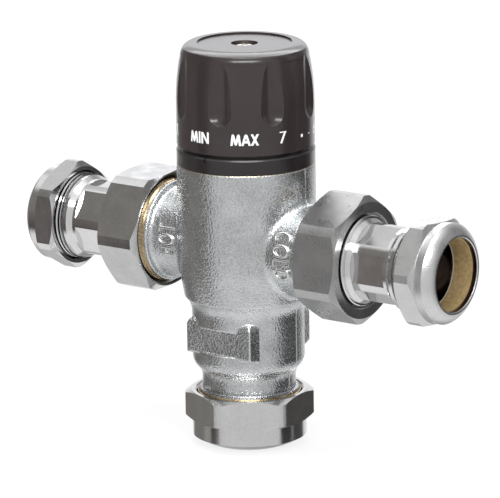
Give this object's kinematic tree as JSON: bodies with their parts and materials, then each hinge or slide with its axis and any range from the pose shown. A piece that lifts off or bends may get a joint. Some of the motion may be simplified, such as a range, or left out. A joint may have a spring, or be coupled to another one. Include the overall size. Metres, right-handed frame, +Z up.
{
  "type": "thermostatic mixing valve",
  "caption": "Thermostatic mixing valve with side inlets on union and compression joints, an outlet below and a fluted temperature knob on top.",
  "frame": {"origin": "on the valve's vertical axis, at the mouth of the outlet nut that it stands on", "axes": "+Z up along the spindle to the knob, +X towards the cold inlet, -Y towards the index mark"},
  "size_m": [0.1592, 0.0442, 0.1308],
  "materials": {
    "plated_casting": "satin plate on a shot-blasted casting",
    "bright_chrome": "polished plate",
    "dark_plastic": "glossy moulding",
    "brass": "machined",
    "copper_brass": "drawn",
    "steel": "stainless",
    "white_plastic": "moulded",
    "rubber": "matt"
  },
  "bodies": {
    "valve": {"valve_body": "plated_casting", "bonnet": "brass", "bonnet_seal": "rubber", "collar_ring": "dark_plastic", "thrust_washer": "white_plastic", "hot_strainer": "steel", "cold_strainer": "steel", "hot_gasket": "rubber", "cold_gasket": "rubber", "return_spring": "steel"},
    "knob": {"temperature_knob": "dark_plastic", "knob_disc": "dark_plastic", "knob_screw": "steel", "spindle": "brass", "spindle_seal": "rubber", "spindle_clip": "steel"},
    "carriage": {"carriage": "brass", "plunger": "brass", "plunger_clip": "steel", "overtravel_spring": "steel", "element_pin": "steel"},
    "shuttle": {"wax_element": "copper_brass", "mixing_shuttle": "white_plastic", "shuttle_seal": "rubber"},
    "outlet_ferrule": {"outlet_olive": "brass"},
    "outlet_nut": {"outlet_compression_nut": "bright_chrome"},
    "hot_tail": {"hot_tailpiece": "bright_chrome", "hot_check_cage": "white_plastic", "hot_check_seal": "rubber", "hot_check_guide": "white_plastic", "hot_check_spring": "steel"},
    "hot_union": {"hot_union_nut": "bright_chrome"},
    "hot_poppet": {"hot_check_poppet": "white_plastic"},
    "hot_ferrule": {"hot_olive": "brass"},
    "hot_nut": {"hot_compression_nut": "bright_chrome"},
    "cold_tail": {"cold_tailpiece": "bright_chrome", "cold_check_cage": "white_plastic", "cold_check_seal": "rubber", "cold_check_guide": "white_plastic", "cold_check_spring": "steel"},
    "cold_union": {"cold_union_nut": "bright_chrome"},
    "cold_poppet": {"cold_check_poppet": "white_plastic"},
    "cold_ferrule": {"cold_olive": "brass"},
    "cold_nut": {"cold_compression_nut": "bright_chrome"}
  },
  "joints": [
    {"name": "knob_turn", "type": "hinge", "parent": "valve", "child": "knob", "pos_m": [0, 0, 0.112], "axis": [0, 0, 1], "range_deg": [0, 319]},
    {"name": "carriage_lift", "type": "slide", "parent": "valve", "child": "carriage", "axis": [0, 0, 1], "range_m": [0, 0.00354]},
    {"name": "shuttle_shift", "type": "slide", "parent": "valve", "child": "shuttle", "axis": [0, 0, 1], "range_m": [-0.00095, 0.00095], "stiffness_N_per_m": 4000, "deforming": ["return_spring"]},
    {"name": "outlet_olive_slide", "type": "slide", "parent": "valve", "child": "outlet_ferrule", "axis": [0, 0, -1], "range_m": [0, 0.00924]},
    {"name": "outlet_nut_turn", "type": "hinge", "parent": "outlet_ferrule", "child": "outlet_nut", "pos_m": [0, 0, 0.01], "axis": [0, 0, -1], "range_deg": [0, 1440]},
    {"name": "hot_tail_slide", "type": "slide", "parent": "valve", "child": "hot_tail", "axis": [-1, 0, 0], "range_m": [0, 0.00693]},
    {"name": "hot_union_turn", "type": "hinge", "parent": "hot_tail", "child": "hot_union", "pos_m": [-0.0384, 0, 0.0658], "axis": [-1, 0, 0], "range_deg": [0, 1080]},
    {"name": "hot_poppet_open", "type": "slide", "parent": "hot_tail", "child": "hot_poppet", "axis": [1, 0, 0], "range_m": [0, 0.003], "stiffness_N_per_m": 150, "springref_m": -0.001, "deforming": ["hot_check_spring"]},
    {"name": "hot_olive_slide", "type": "slide", "parent": "hot_tail", "child": "hot_ferrule", "axis": [-1, 0, 0], "range_m": [0, 0.006]},
    {"name": "hot_nut_turn", "type": "hinge", "parent": "hot_ferrule", "child": "hot_nut", "pos_m": [-0.0734, 0, 0.0658], "axis": [-1, 0, 0], "range_deg": [0, 1440]},
    {"name": "cold_tail_slide", "type": "slide", "parent": "valve", "child": "cold_tail", "axis": [1, 0, 0], "range_m": [0, 0.00693]},
    {"name": "cold_union_turn", "type": "hinge", "parent": "cold_tail", "child": "cold_union", "pos_m": [0.0384, 0, 0.0658], "axis": [1, 0, 0], "range_deg": [0, 1080]},
    {"name": "cold_poppet_open", "type": "slide", "parent": "cold_tail", "child": "cold_poppet", "axis": [-1, 0, 0], "range_m": [0, 0.003], "stiffness_N_per_m": 150, "springref_m": -0.001, "deforming": ["cold_check_spring"]},
    {"name": "cold_olive_slide", "type": "slide", "parent": "cold_tail", "child": "cold_ferrule", "axis": [1, 0, 0], "range_m": [0, 0.006]},
    {"name": "cold_nut_turn", "type": "hinge", "parent": "cold_ferrule", "child": "cold_nut", "pos_m": [0.0734, 0, 0.0658], "axis": [1, 0, 0], "range_deg": [0, 1440]}
  ],
  "couplings": [
    {"joint": "knob_turn", "follows": "carriage_lift", "rad_per_m": 1570.8},
    {"joint": "outlet_nut_turn", "follows": "outlet_olive_slide", "rad_per_m": 2721.2},
    {"joint": "hot_union_turn", "follows": "hot_tail_slide", "rad_per_m": 2721.2},
    {"joint": "hot_nut_turn", "follows": "hot_olive_slide", "rad_per_m": 4188.8},
    {"joint": "cold_union_turn", "follows": "cold_tail_slide", "rad_per_m": 2721.2},
    {"joint": "cold_nut_turn", "follows": "cold_olive_slide", "rad_per_m": 4188.8}
  ]
}
